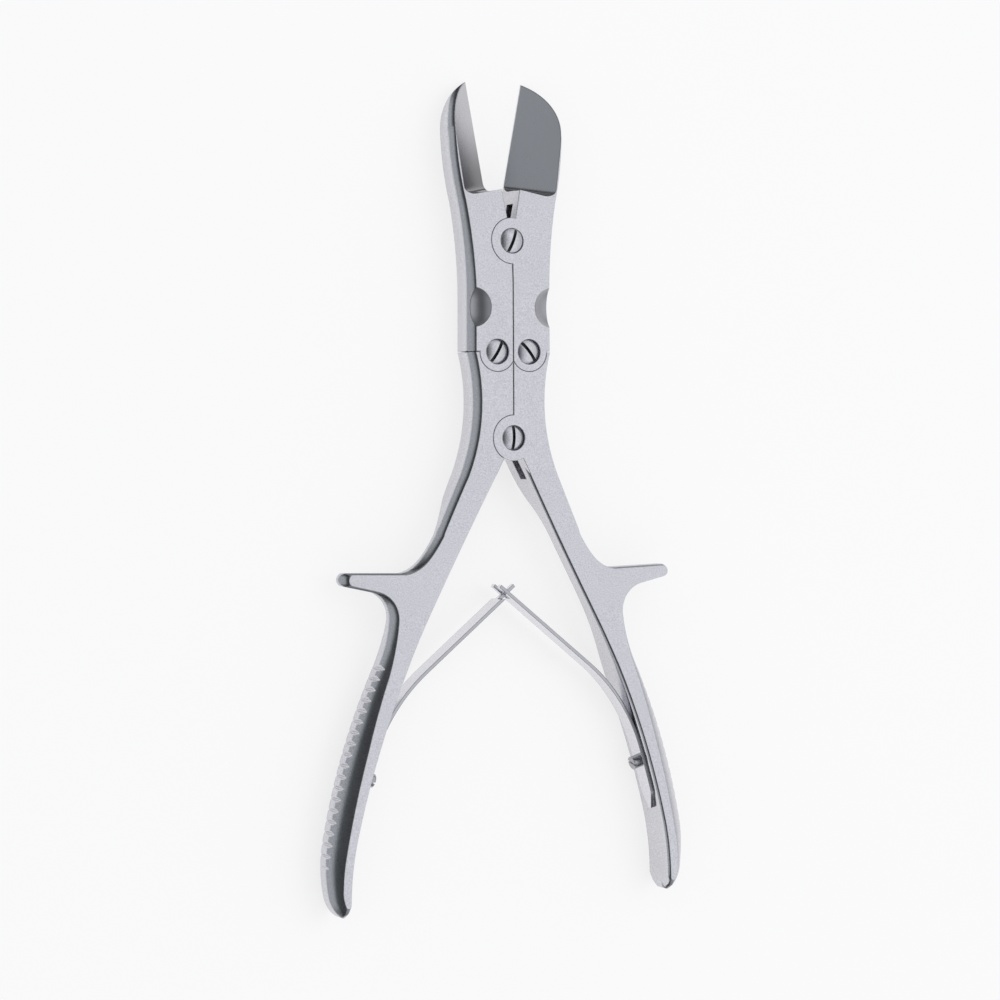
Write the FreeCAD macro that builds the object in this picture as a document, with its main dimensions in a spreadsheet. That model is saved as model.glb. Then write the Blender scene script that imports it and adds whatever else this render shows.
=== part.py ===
import FreeCAD, Part
import math
import os
import re
import Sketcher

# Bone cutting forceps, double action, lying flat on the back.
# +Y points to the jaws, +Z is the front with the screw heads, X runs across.
# Every piece is drawn about the rear pivot, with the back plane at height zero.
# Right is +X. The left pieces use the same outlines with X turned over.

V = FreeCAD.Vector
doc = FreeCAD.newDocument("bone_cutting_forceps")
sheet = doc.addObject("Spreadsheet::Sheet", "dims")
# Every size in millimetres or degrees. The sheet gets one row for each
SIZES = {
    # Places of the four pivots and the two ends, measured from the rear pivot
    "jaw_reach": 116.6,
    "handle_reach": 153.4,
    "pivot_span": 64.2,
    "link_rise": 28.1,
    "link_half": 5.8,
    "jaw_opening": 10.9,
    "handle_splay": 27.9,
    # Box joint: layers through the thickness and running gaps
    "joint_thick": 14.0,
    "ear_thick": 4.85,
    "layer_gap": 0.15,
    "seam_gap": 0.3,
    "ear_radius": 7.45,
    "link_ear_radius": 6.4,
    "round_gap": 0.15,
    "shoulder_gap": 0.3,
    "runout_radius": 9.2,
    "front_runout_shift": 3.5,
    "rear_runout_shift": 8.2,
    # Joint outline
    "side_bulge": 1.0,
    "shoulder_half": 13.4,
    "waist_radius": 62.0,
    "waist_end_half": 16.0,
    "waist_end_drop": 12.0,
    # Jaws and blades
    "neck_start": 46.0,
    "neck_half": 13.3,
    "neck_end": 77.0,
    "neck_end_half": 16.2,
    "neck_radius": 170.0,
    "nose_run": 16.1,
    "blade_half": 19.4,
    "blade_back_radius": 112.0,
    "nose_radius": 17.7,
    "taper_start": 50.0,
    "taper_drop": 3.4,
    "bevel_angle": 43.0,
    "bevel_rise": 16.7,
    "bevel_round": 3.0,
    "edge_land": 0.15,
    "scallop_radius": 7.75,
    "scallop_up": 42.5,
    "scallop_half": 14.4,
    "scallop_lift": 4.3,
    # Handle through its thickness
    "grip_thick": 14.4,
    "edge_rise": 1.7,
    "shoulder_share": 0.52,
    "round_rise": 4.4,
    "round_share": 0.9,
    "dip_start": 12.0,
    "dip_end": 76.0,
    "front_dip": 1.0,
    "grip_rise_end": 100.0,
    "back_dip": 6.0,
    "back_ramp": 20.0,
    "back_rise_start": 50.0,
    "back_rise_run": 40.0,
    # Handle, front face outline
    "shank_end_half": 24.2,
    "shank_end_drop": 30.4,
    "guard_root_radius": 15.0,
    "guard_start_half": 38.5,
    "guard_top_drop": 44.4,
    "guard_half": 60.8,
    "guard_tip_rise": 0.6,
    "guard_face_tip_radius": 1.25,
    "guard_tip_span": 1.96,
    "guard_under_half": 48.2,
    "guard_under_drop": 48.3,
    "finger_radius": 9.2,
    "finger_half": 40.4,
    "finger_drop": 59.0,
    "finger_run_radius": 73.0,
    "face_start_half": 44.6,
    "face_start_drop": 76.0,
    "face_radius": 320.0,
    "face_end_width": 1.95,
    "face_end_gap": 18.4,
    "face_tail_radius": 60.0,
    "face_tail_width": 2.65,
    "face_tail_gap": 10.4,
    "face_lift": 4.2,
    # Handle, widest outline at mid height and the inner side
    "guard_crown": 1.1,
    "guard_tip_radius": 2.3,
    "guard_nose": 3.4,
    "finger_crown": 2.1,
    "crown_radius": 205.0,
    "crown_top_angle": 27.0,
    "crown_start_half": 46.0,
    "crown_start_drop": 71.4,
    "crown_tail_radius": 45.0,
    "crown_tail_angle": 13.0,
    "crown_end_gap": 6.5,
    "end_outer_radius": 10.7,
    "end_round": 0.95,
    "end_join_angle": 50.0,
    "shank_run": 65.0,
    "inner_radius": 290.0,
    "inner_tail_radius": 95.0,
    "inner_end_angle": 0.5,
    "inner_end_gap": 5.6,
    # Grip grooves
    "groove_half": 1.3,
    "groove_depth": 1.3,
    "groove_first_angle": 26.4,
    "groove_pitch_angle": 1.03,
    "groove_count": 19,
    # Pivot screws
    "screw_radius": 2.5,
    "screw_fit": 0.02,
    "screw_run": 0.06,
    "open_pivot_run": 0.15,
    "head_radius": 3.95,
    "head_thick": 1.7,
    "head_ring": 0.2,
    "head_dome": 0.3,
    "head_edge": 0.25,
    "slot_width": 0.9,
    "slot_depth": 0.9,
    "tail_sink": 0.15,
    "front_slot_angle": 68.0,
    "rear_slot_angle": 88.0,
    "left_slot_angle": 58.0,
    "right_slot_angle": -50.0,
    # Leaf springs and their screws
    "leaf_thick": 1.1,
    "leaf_width": 6.6,
    "leaf_seat": 0.05,
    "leaf_end_turn": 0.35,
    "leaf_lift_turn": 4.9,
    "leaf_lean": 50.9,
    "leaf_bend_radius": 60.0,
    "leaf_past": 4.0,
    "leaf_point": 0.8,
    "leaf_point_run": 6.0,
    "tongue_width": 1.7,
    "fork_gap": 0.5,
    "fork_depth": 1.8,
    "spring_screw_turn": 3.7,
    "spring_head_radius": 2.25,
    "spring_head_thick": 2.6,
    "spring_head_seat": 0.03,
    "spring_shank_radius": 1.25,
    "spring_shank_deep": 4.2,
    "spring_slot_width": 0.6,
    "spring_slot_depth": 0.7,
}
for row, (name, value) in enumerate(SIZES.items(), start=1):
    sheet.set(f"A{row}", name)
    sheet.set(f"B{row}", str(value))
    sheet.setAlias(f"B{row}", name)
doc.recompute()


def bound(text):
    """Turns plain size names in an expression into references to the sheet."""
    return re.sub(r"[a-z_]{3,}", lambda m: f"dims.{m[0]}" if m[0] in SIZES else m[0], text)


def number(text):
    """The present value of an expression."""
    value = sheet.evalExpression(bound(text))
    return float(getattr(value, "Value", value))


def bind(thing, place, text):
    thing.setExpression(place, bound(text))


def body(label):
    piece = doc.addObject("PartDesign::Body", label)
    piece.Label = label
    bind(piece, "Placement.Base.y", "(handle_reach - jaw_reach) / 2")
    return piece


def plane(piece, role):
    return next(f for f in piece.Origin.OriginFeatures if f.Role == role)


def sketch(piece, name, level=None, on="XY_Plane"):
    """A sketch on one of the body's own origin planes, lifted to a level."""
    made = piece.newObject("Sketcher::SketchObject", name)
    made.AttachmentSupport = [(plane(piece, on), "")]
    made.MapMode = "FlatFace"
    if level:
        bind(made, "AttachmentOffset.Base.z", level)
    return made


def place_point(drawing, geometry, end, x_text, y_text):
    """Ties one point of the sketch to its X and Y expressions."""
    for kind, text, axis in (("DistanceX", x_text, -2), ("DistanceY", y_text, -1)):
        if text == "0":
            drawing.addConstraint(Sketcher.Constraint("PointOnObject", geometry, end, axis))
            continue
        index = drawing.addConstraint(
            Sketcher.Constraint(kind, -1, 1, geometry, end, number(text)))
        drawing.setExpression(f"Constraints[{index}]", bound(text))


def arc_between(start, finish, radius, turn):
    """The short arc between two points, with its centre on the left or right of the way."""
    chord = finish - start
    side = V(-chord.y, chord.x, 0).normalize()
    if turn == "right":
        side = side * -1
        start, finish = finish, start
    reach = (radius ** 2 - (chord.Length / 2) ** 2) ** 0.5
    centre = (start + finish) * 0.5 + side * reach
    angles = [math.atan2(p.y - centre.y, p.x - centre.x) for p in (start, finish)]
    if angles[1] < angles[0]:
        angles[1] += 2 * math.pi
    return Part.ArcOfCircle(Part.Circle(centre, V(0, 0, 1), radius), *angles)


def outline(drawing, corners):
    """A closed outline. Each corner has X, Y and, for an arc to the next one, radius and turn."""
    points = [V(number(c[0]), number(c[1]), 0) for c in corners]
    ends = []
    for i, corner in enumerate(corners):
        start, finish = points[i], points[(i + 1) % len(points)]
        if len(corner) == 2:
            index = drawing.addGeometry(Part.LineSegment(start, finish), False)
            ends.append((index, 1, 2))
            continue
        curve = arc_between(start, finish, number(corner[2]), corner[3])
        index = drawing.addGeometry(curve, False)
        ends.append((index, 1, 2) if corner[3] == "left" else (index, 2, 1))
        tie = drawing.addConstraint(Sketcher.Constraint("Radius", index, number(corner[2])))
        drawing.setExpression(f"Constraints[{tie}]", bound(corner[2]))
    for i, corner in enumerate(corners):
        index, first, _ = ends[i]
        before, _, last = ends[i - 1]
        drawing.addConstraint(Sketcher.Constraint("Coincident", before, last, index, first))
        place_point(drawing, index, first, corner[0], corner[1])


def circle(drawing, x_text, y_text, radius_text):
    centre = V(number(x_text), number(y_text), 0)
    shape = Part.Circle(centre, V(0, 0, 1), number(radius_text))
    index = drawing.addGeometry(shape, False)
    tie = drawing.addConstraint(Sketcher.Constraint("Radius", index, number(radius_text)))
    drawing.setExpression(f"Constraints[{tie}]", bound(radius_text))
    place_point(drawing, index, 3, x_text, y_text)


def swap(corners, side):
    """The outline as it is on the right, or with X turned over on the left."""
    if side == "right":
        return corners
    turned = {"left": "right", "right": "left"}
    return [(f"-({c[0]})", c[1], *((c[2], turned[c[3]]) if len(c) == 4 else ()))
            for c in corners]


def pad(piece, drawing, length):
    made = piece.newObject("PartDesign::Pad", drawing.Name + "_pad")
    made.Profile = drawing
    bind(made, "Length", length)
    drawing.Visibility = False
    return checked(piece, made, "more")


def pocket(piece, drawing, length, both_ways=False):
    """Cuts down from the sketch, and makes sure that it has cut something."""
    made = piece.newObject("PartDesign::Pocket", drawing.Name + "_cut")
    made.Profile = drawing
    made.Midplane = both_ways
    bind(made, "Length", length)
    return checked(piece, made, "less")


def checked(piece, feature, change):
    """Recomputes, and compares the volume before and after the feature."""
    base = getattr(feature, "Originals", [feature.BaseFeature])[0]
    before = base.Shape.Volume if base else 0.0
    doc.recompute()
    after = feature.Shape.Volume
    moved = after - before if change == "more" else before - after
    if moved <= 0:
        raise RuntimeError(f"{piece.Label}: {feature.Name} changed nothing")
    piece.Tip = feature
    return feature


def loft(piece, name, levels):
    """Straight bands through outlines at rising levels."""
    drawings = []
    for i, (level, corners) in enumerate(levels):
        drawing = sketch(piece, f"{name}_{i}", level)
        outline(drawing, corners)
        drawings.append(drawing)
    made = piece.newObject("PartDesign::AdditiveLoft", name)
    made.Profile = drawings[0]
    made.Sections = drawings[1:]
    made.Ruled = True
    return checked(piece, made, "more")


SEAM = "seam_gap / 2"
MID = "joint_thick / 2"
TONGUE_LOW = "(ear_thick + layer_gap)"
TONGUE_THICK = "(joint_thick - 2 * ear_thick - 2 * layer_gap)"
SLOT_THICK = "(joint_thick - 2 * ear_thick)"
EAR_POCKET = "(ear_radius + round_gap)"
LINK_TOP = "link_rise + shoulder_gap / 2"
LINK_LOW = "link_rise - shoulder_gap / 2"
TONGUE_RADIUS = "(link_ear_radius - round_gap)"


# Lean of the inner side where it turns in, so that it ends short of the handle's end
INNER_TURN = "(asin((inner_radius * sin(handle_splay) + shank_run * cos(handle_splay)" \
    " - handle_reach + inner_end_gap - inner_tail_radius * sin(inner_end_angle))" \
    " / (inner_radius - inner_tail_radius)) / (1 deg))"
# Lean of the crown where its tail starts, so that the tail ends short of the handle's end
CROWN_TURN = "(asin((crown_start_drop + crown_radius * sin(crown_top_angle)" \
    " - handle_reach + crown_end_gap + crown_tail_radius * sin(crown_tail_angle))" \
    " / (crown_radius - crown_tail_radius)) / (1 deg))"
LEAF_END = f"({INNER_TURN} + leaf_end_turn)"
LEAF_LIFT = f"({INNER_TURN} + leaf_lift_turn)"
SPRING_SCREW = f"({INNER_TURN} + spring_screw_turn)"


# Points on the handle's inner side, by the angle that the side leans from the length
def inner_side(angle, inset="0"):
    x = f"(shank_run * sin(handle_splay) - inner_radius * cos(handle_splay)" \
        f" + (inner_radius - ({inset})) * cos({angle}))"
    y = f"(-shank_run * cos(handle_splay) - inner_radius * sin(handle_splay)" \
        f" + (inner_radius - ({inset})) * sin({angle}))"
    return x, y


def inner_tail(angle):
    x, y = inner_side(INNER_TURN)
    return (f"({x} - inner_tail_radius * (cos({INNER_TURN}) - cos({angle})))",
            f"({y} - inner_tail_radius * (sin({INNER_TURN}) - sin({angle})))")


def crown(angle):
    """Points on the widest outline of the grip, by lean angle."""
    return (f"(crown_start_half + crown_radius * (cos({angle}) - cos(crown_top_angle)))",
            f"(-crown_start_drop + crown_radius * (sin({angle}) - sin(crown_top_angle)))")


def crown_tail():
    x, y = crown(CROWN_TURN)
    return (f"({x} + crown_tail_radius * (cos(crown_tail_angle) - cos({CROWN_TURN})))",
            f"({y} - crown_tail_radius * (sin(crown_tail_angle) + sin({CROWN_TURN})))")


def jaw_outline(bulge):
    tip = f"{SEAM} + (jaw_reach - pivot_span) * tan(jaw_opening)"
    return [
        (SEAM, LINK_TOP),
        (SEAM, "pivot_span"),
        (tip, "jaw_reach", "nose_radius", "right"),
        ("blade_half", "jaw_reach - nose_run", "blade_back_radius", "right"),
        (f"neck_end_half + ({bulge}) / 2", "neck_end", "neck_radius", "left"),
        (f"neck_half + ({bulge})", "neck_start"),
        (f"shoulder_half + ({bulge})", LINK_TOP),
    ]


def inner_corners(lift):
    """The round end of the handle, and its inner side up to the seam."""
    tail_x, tail_y = inner_tail("inner_end_angle")
    height = f"-handle_reach + end_round + ({lift})"
    return [
        (f"{tail_x} + end_round * (1 + cos(end_join_angle))",
         f"{height} - end_round * sin(end_join_angle)", "end_round", "right"),
        (tail_x, height),
        (tail_x, tail_y, "inner_tail_radius", "left"),
        (*inner_side(INNER_TURN), "inner_radius", "left"),
        inner_side("handle_splay"),
        (SEAM, f"-({SEAM}) / tan(handle_splay)"),
    ]


def handle_face():
    """Outline of the flat front and back faces of the handle."""
    guard_x = "(guard_half - guard_nose - guard_face_tip_radius)"
    guard_y = "(guard_top_drop - guard_tip_rise)"
    tail_x, _ = inner_tail("inner_end_angle")
    return [
        (SEAM, LINK_LOW),
        ("shoulder_half", LINK_LOW, "waist_radius", "left"),
        ("waist_end_half", "-waist_end_drop"),
        ("shank_end_half", "-shank_end_drop", "guard_root_radius", "left"),
        ("guard_start_half", "-guard_top_drop"),
        (guard_x, f"-{guard_y}", "guard_face_tip_radius", "right"),
        (guard_x, f"-{guard_y} - guard_tip_span * guard_face_tip_radius"),
        ("guard_under_half", "-guard_under_drop", "finger_radius", "left"),
        ("finger_half", "-finger_drop", "finger_run_radius", "left"),
        ("face_start_half", "-face_start_drop", "face_radius", "right"),
        (f"{tail_x} + face_end_width", "-handle_reach + face_end_gap",
         "face_tail_radius", "right"),
        (f"{tail_x} + face_tail_width", "-handle_reach + face_tail_gap",
         "end_outer_radius", "right"),
        *inner_corners("face_lift"),
    ]


def handle_crown():
    """Widest outline of the handle, at mid height."""
    guard_x = "(guard_half - guard_tip_radius)"
    guard_y = "(guard_top_drop - guard_tip_rise - guard_crown)"
    return [
        (SEAM, LINK_LOW),
        ("shoulder_half + side_bulge", LINK_LOW, "waist_radius", "left"),
        ("waist_end_half + side_bulge", "-waist_end_drop"),
        ("shank_end_half + side_bulge", "-shank_end_drop", "guard_root_radius", "left"),
        ("guard_start_half", "-guard_top_drop + guard_crown"),
        (guard_x, f"-{guard_y}", "guard_tip_radius", "right"),
        (guard_x, f"-{guard_y} - guard_tip_span * guard_tip_radius"),
        ("guard_under_half", "-guard_under_drop - guard_crown", "finger_radius", "left"),
        ("finger_half + finger_crown", "-finger_drop", "finger_run_radius / 2", "left"),
        (*crown("crown_top_angle"), "crown_radius", "right"),
        (*crown(CROWN_TURN), "crown_tail_radius", "right"),
        (*crown_tail(), "end_outer_radius", "right"),
        *inner_corners("0"),
    ]


def between(face, widest, share):
    """An outline part of the way from the flat face to the widest outline."""
    corners = []
    for near, far in zip(face, widest):
        mixed = [a if a == b else f"(({a}) * (1 - {share}) + ({b}) * {share})"
                 for a, b in zip(near[:3], far[:3])]
        corners.append((*mixed, *near[3:]))
    return corners


def sign(side):
    return "" if side == "right" else "-"


def trimmed_round(drawing, side, radius):
    """A round ear about a link pivot, cut flat along the seam."""
    rise = f"sqrt(({radius}) ^ 2 - (link_half - {SEAM}) ^ 2)"
    outline(drawing, swap([
        (SEAM, f"link_rise + {rise}", radius, "right"),
        (f"link_half + {radius}", "link_rise", radius, "right"),
        (SEAM, f"link_rise - {rise}"),
    ], side))


def round_cut(piece, name, x, y, radius, level, length):
    """A straight round pocket, cut down from a level."""
    drawing = sketch(piece, name, level)
    circle(drawing, x, y, radius)
    return pocket(piece, drawing, length)


def screw_hole(piece, name, x, y, radius, head=False):
    round_cut(piece, f"{name}_hole", x, y, radius, "joint_thick + 1", "joint_thick + 2")
    if head:
        round_cut(piece, f"{name}_head_seat", x, y, "head_radius + head_ring",
                  "joint_thick + 1", "head_thick + 1")


def cut_outer_layers(piece, name, x, y, radius):
    """Clears the front and back layers round the mate's ears, and leaves the middle layer."""
    for level, where in (("joint_thick + 1", "front"), (TONGUE_LOW, "back")):
        round_cut(piece, f"{name}_clear_{where}", x, y, radius, level, f"{TONGUE_LOW} + 1")


def box_joint(piece, side, name, centre, way):
    """Fork on the right piece and tongue on the left one, about a pivot on the middle line."""
    label = f"{side}_{name}"
    if side == "right":
        ear = sketch(piece, f"{label}_ear")
        circle(ear, "0", centre, "ear_radius")
        pad(piece, ear, "joint_thick")
        top = "joint_thick - ear_thick"
        round_cut(piece, f"{label}_slot", "0", centre, EAR_POCKET, top, SLOT_THICK)
        round_cut(piece, f"{label}_runout", "0", f"{centre} {way} {name}_runout_shift",
                  "runout_radius", top, SLOT_THICK)
        screw_hole(piece, label, "0", centre, "screw_radius + screw_fit", head=True)
        return
    cut_outer_layers(piece, label, "0", centre, EAR_POCKET)
    ear = sketch(piece, f"{label}_ear", TONGUE_LOW)
    circle(ear, "0", centre, "ear_radius")
    pad(piece, ear, TONGUE_THICK)
    run = "open_pivot_run" if name == "front" else "screw_run"
    screw_hole(piece, label, "0", centre, f"screw_radius + {run}")


def jaw(side):
    piece = body(f"{side}_jaw")
    half = f"{sign(side)}link_half"
    loft(piece, f"{side}_jaw_form", [
        (None, swap(jaw_outline("0"), side)),
        ("round_rise", swap(jaw_outline("side_bulge * round_share"), side)),
        ("joint_thick - round_rise", swap(jaw_outline("side_bulge * round_share"), side)),
        ("joint_thick", swap(jaw_outline("0"), side)),
    ])
    # Forked tail round the link screw
    ear = sketch(piece, f"{side}_link_ear")
    trimmed_round(ear, side, "link_ear_radius")
    pad(piece, ear, "joint_thick")
    round_cut(piece, f"{side}_link_slot", half, "link_rise", "link_ear_radius",
              "joint_thick - ear_thick", SLOT_THICK)
    screw_hole(piece, f"{side}_link", half, "link_rise", "screw_radius + screw_fit", head=True)
    box_joint(piece, side, "front", "pivot_span", "+")
    # The front face falls away towards the tip
    taper = sketch(piece, f"{side}_taper", on="YZ_Plane")
    outline(taper, [
        ("taper_start", "joint_thick"),
        ("jaw_reach + 5", "joint_thick - taper_drop"),
        ("jaw_reach + 5", "joint_thick + 1"),
        ("taper_start", "joint_thick + 1"),
    ])
    pocket(piece, taper, "4 * blade_half", both_ways=True)
    bevel(piece, side)
    # Hollow on the front outer corner
    scallop = piece.newObject("PartDesign::SubtractiveSphere", f"{side}_scallop")
    bind(scallop, "Radius", "scallop_radius")
    bind(scallop, "Placement.Base.x", f"{sign(side)}scallop_half")
    bind(scallop, "Placement.Base.y", "scallop_up")
    bind(scallop, "Placement.Base.z", "joint_thick + scallop_lift")
    checked(piece, scallop, "less")


def bevel(piece, side):
    """The cutting bevel: a flat that rises outwards from the edge and ends in a round wall."""
    start = "(pivot_span + bevel_rise)"
    drawing = sketch(piece, f"{side}_bevel", on="XZ_Plane")
    # The sketch stands square to the edge, where the bevel starts
    along = "(bevel_rise / cos(jaw_opening))"
    drawing.AttachmentOffset = FreeCAD.Placement(V(), FreeCAD.Rotation(V(0, 1, 0), 1))
    turn = "-jaw_opening" if side == "right" else "jaw_opening"
    bind(drawing, "AttachmentOffset.Rotation.Angle", turn)
    bind(drawing, "AttachmentOffset.Base.x",
         f"{sign(side)}({SEAM} + {along} * sin(jaw_opening))")
    bind(drawing, "AttachmentOffset.Base.z", f"-{start}")
    rise = "2 * blade_half * tan(bevel_angle)"
    outline(drawing, swap([
        ("-5", "edge_land"),
        ("-0.01", "edge_land"),
        ("2 * blade_half", f"edge_land + {rise}"),
        ("-5", f"edge_land + {rise}"),
    ], side))
    cut = pocket(piece, drawing, "jaw_reach")
    # The wall's foot is rounded: in the sketch's plane, the one straight edge that slopes
    level = drawing.Placement.inverse()
    for number_from_one, edge in enumerate(cut.Shape.Edges, start=1):
        ends = [level.multVec(p.Point) for p in edge.Vertexes]
        run = ends[-1] - ends[0]
        flat = max(abs(p.z) for p in ends) < 0.01
        if flat and min(abs(run.x), abs(run.y)) > 1 and isinstance(edge.Curve, Part.Line):
            foot = f"Edge{number_from_one}"
    made = piece.newObject("PartDesign::Fillet", f"{side}_bevel_foot")
    made.Base = (cut, [foot])
    bind(made, "Radius", "bevel_round")
    checked(piece, made, "more")


def handle(side):
    piece = body(f"{side}_handle")
    half = f"{sign(side)}link_half"
    face = swap(handle_face(), side)
    widest = swap(handle_crown(), side)
    shoulder = between(face, widest, "shoulder_share")
    round_side = between(face, widest, "round_share")
    loft(piece, f"{side}_handle_form", [
        (None, face),
        ("edge_rise", shoulder),
        ("round_rise", round_side),
        ("grip_thick - round_rise", round_side),
        ("grip_thick - edge_rise", shoulder),
        ("grip_thick", face),
    ])
    # The front face: level over the joint, a long dip along the shank, then up to the grip
    dip = "((dip_end - dip_start) ^ 2 / (8 * front_dip) + front_dip / 2)"
    front = sketch(piece, f"{side}_front_dip", on="YZ_Plane")
    outline(front, [
        ("link_rise + 20", "joint_thick"),
        ("-dip_start", "joint_thick", dip, "right"),
        ("-dip_end", "joint_thick"),
        ("-grip_rise_end", "grip_thick"),
        ("-grip_rise_end", "grip_thick + 2"),
        ("link_rise + 20", "grip_thick + 2"),
    ])
    pocket(piece, front, "4 * guard_half", both_ways=True)
    # The back face rises towards the front along the shank, with a soft step at each end
    ramp = "((back_ramp ^ 2 + back_dip ^ 2) / (4 * back_dip))"
    rise = "((back_rise_run ^ 2 + back_dip ^ 2) / (4 * back_dip))"
    back = sketch(piece, f"{side}_back_dip", on="YZ_Plane")
    outline(back, [
        ("-dip_start", "0", ramp, "right"),
        ("-dip_start - back_ramp / 2", "back_dip / 2", ramp, "left"),
        ("-dip_start - back_ramp", "back_dip"),
        ("-back_rise_start", "back_dip", rise, "left"),
        ("-back_rise_start - back_rise_run / 2", "back_dip / 2", rise, "right"),
        ("-back_rise_start - back_rise_run", "0"),
        ("-back_rise_start - back_rise_run", "-1"),
        ("-dip_start", "-1"),
    ])
    pocket(piece, back, "4 * guard_half", both_ways=True)
    # Tongue for the link screw, between the ears of the jaw
    cut_outer_layers(piece, f"{side}_link", half, "link_rise", "link_ear_radius + round_gap")
    tongue = sketch(piece, f"{side}_link_tongue", TONGUE_LOW)
    trimmed_round(tongue, side, TONGUE_RADIUS)
    pad(piece, tongue, TONGUE_THICK)
    screw_hole(piece, f"{side}_link", half, "link_rise", "screw_radius + screw_run")
    box_joint(piece, side, "rear", "0", "-")
    bore = piece.newObject("PartDesign::SubtractiveCylinder", f"{side}_spring_bore")
    bind(bore, "Radius", "spring_shank_radius + screw_fit")
    bind(bore, "Height", "spring_shank_deep + 1")
    bind(bore, "Placement", aimed(side, SPRING_SCREW, "1", "90"))
    checked(piece, bore, "less")
    grooves(piece, side)


def grooves(piece, side):
    """Straight grooves across the crown of the grip, stepped round the crown's own centre."""
    cut = sketch(piece, f"{side}_groove", "grip_thick + 1")
    bind(cut, "AttachmentOffset.Base.x",
         f"{sign(side)}(crown_start_half - crown_radius * cos(crown_top_angle))")
    bind(cut, "AttachmentOffset.Base.y", "-crown_start_drop - crown_radius * sin(crown_top_angle)")
    # A straight-sided groove, drawn as far outside the crown as it is deep
    base, wide = "(crown_radius - groove_depth)", "(2 * groove_half)"
    top = "(crown_radius + groove_depth)"
    outline(cut, swap([
        (f"{base} * cos(groove_first_angle)", f"{base} * sin(groove_first_angle)"),
        (f"{top} * cos(groove_first_angle) + {wide} * sin(groove_first_angle)",
         f"{top} * sin(groove_first_angle) - {wide} * cos(groove_first_angle)"),
        (f"{top} * cos(groove_first_angle) - {wide} * sin(groove_first_angle)",
         f"{top} * sin(groove_first_angle) + {wide} * cos(groove_first_angle)"),
    ], side))
    first = pocket(piece, cut, "grip_thick + 2")
    pattern = piece.newObject("PartDesign::PolarPattern", f"{side}_grooves")
    pattern.Originals = [first]
    pattern.Axis = (cut, ["N_Axis"])
    pattern.Reversed = side == "right"
    bind(pattern, "Occurrences", "groove_count")
    bind(pattern, "Angle", "groove_pitch_angle * (groove_count - 1)")
    checked(piece, pattern, "less")


def aimed(side, angle, inset, turn, shift="0"):
    """A placement square to the handle's inner side. At a turn of 90 it aims into the handle."""
    x, y = inner_side(angle, inset)
    return (f"create(<<placement>>; create(<<vector>>; {sign(side)}{x}; {y} + {shift};"
            f" joint_thick / 2); create(<<rotation>>; create(<<vector>>; -sin({angle});"
            f" {sign(side)}cos({angle}); 0); {turn}))")


def revolved(piece, name, corners):
    """Turns a profile of radius and height about the body's own upright axis."""
    profile = sketch(piece, name, on="XZ_Plane")
    outline(profile, corners)
    made = piece.newObject("PartDesign::Revolution", f"{name}_turned")
    made.Profile = profile
    made.ReferenceAxis = (profile, ["V_Axis"])
    made.Angle = 360
    return checked(piece, made, "more")


def driver_slot(piece, name, level, radius, width, depth):
    drawing = sketch(piece, name, level)
    outline(drawing, [
        (f"-{radius} - 1", f"-{width} / 2"),
        (f"{radius} + 1", f"-{width} / 2"),
        (f"{radius} + 1", f"{width} / 2"),
        (f"-{radius} - 1", f"{width} / 2"),
    ])
    pocket(piece, drawing, depth)


def pivot_screw(label, x, y, slot_angle):
    piece = body(label)
    revolved(piece, f"{label}_profile", [
        ("0", "tail_sink"),
        ("screw_radius", "tail_sink"),
        ("screw_radius", "joint_thick - head_thick"),
        ("head_radius", "joint_thick - head_thick"),
        ("head_radius", "joint_thick"),
        ("head_radius - head_edge", "joint_thick + head_dome"),
        ("0", "joint_thick + head_dome"),
    ])
    driver_slot(piece, f"{label}_slot", "joint_thick + head_dome + 0.1", "head_radius",
                "slot_width", "slot_depth + 0.1")
    bind(piece, "Placement.Base.x", x)
    bind(piece, "Placement.Base.y", f"{y} + (handle_reach - jaw_reach) / 2")
    bind(piece, "Placement.Rotation.Angle", slot_angle)


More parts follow.
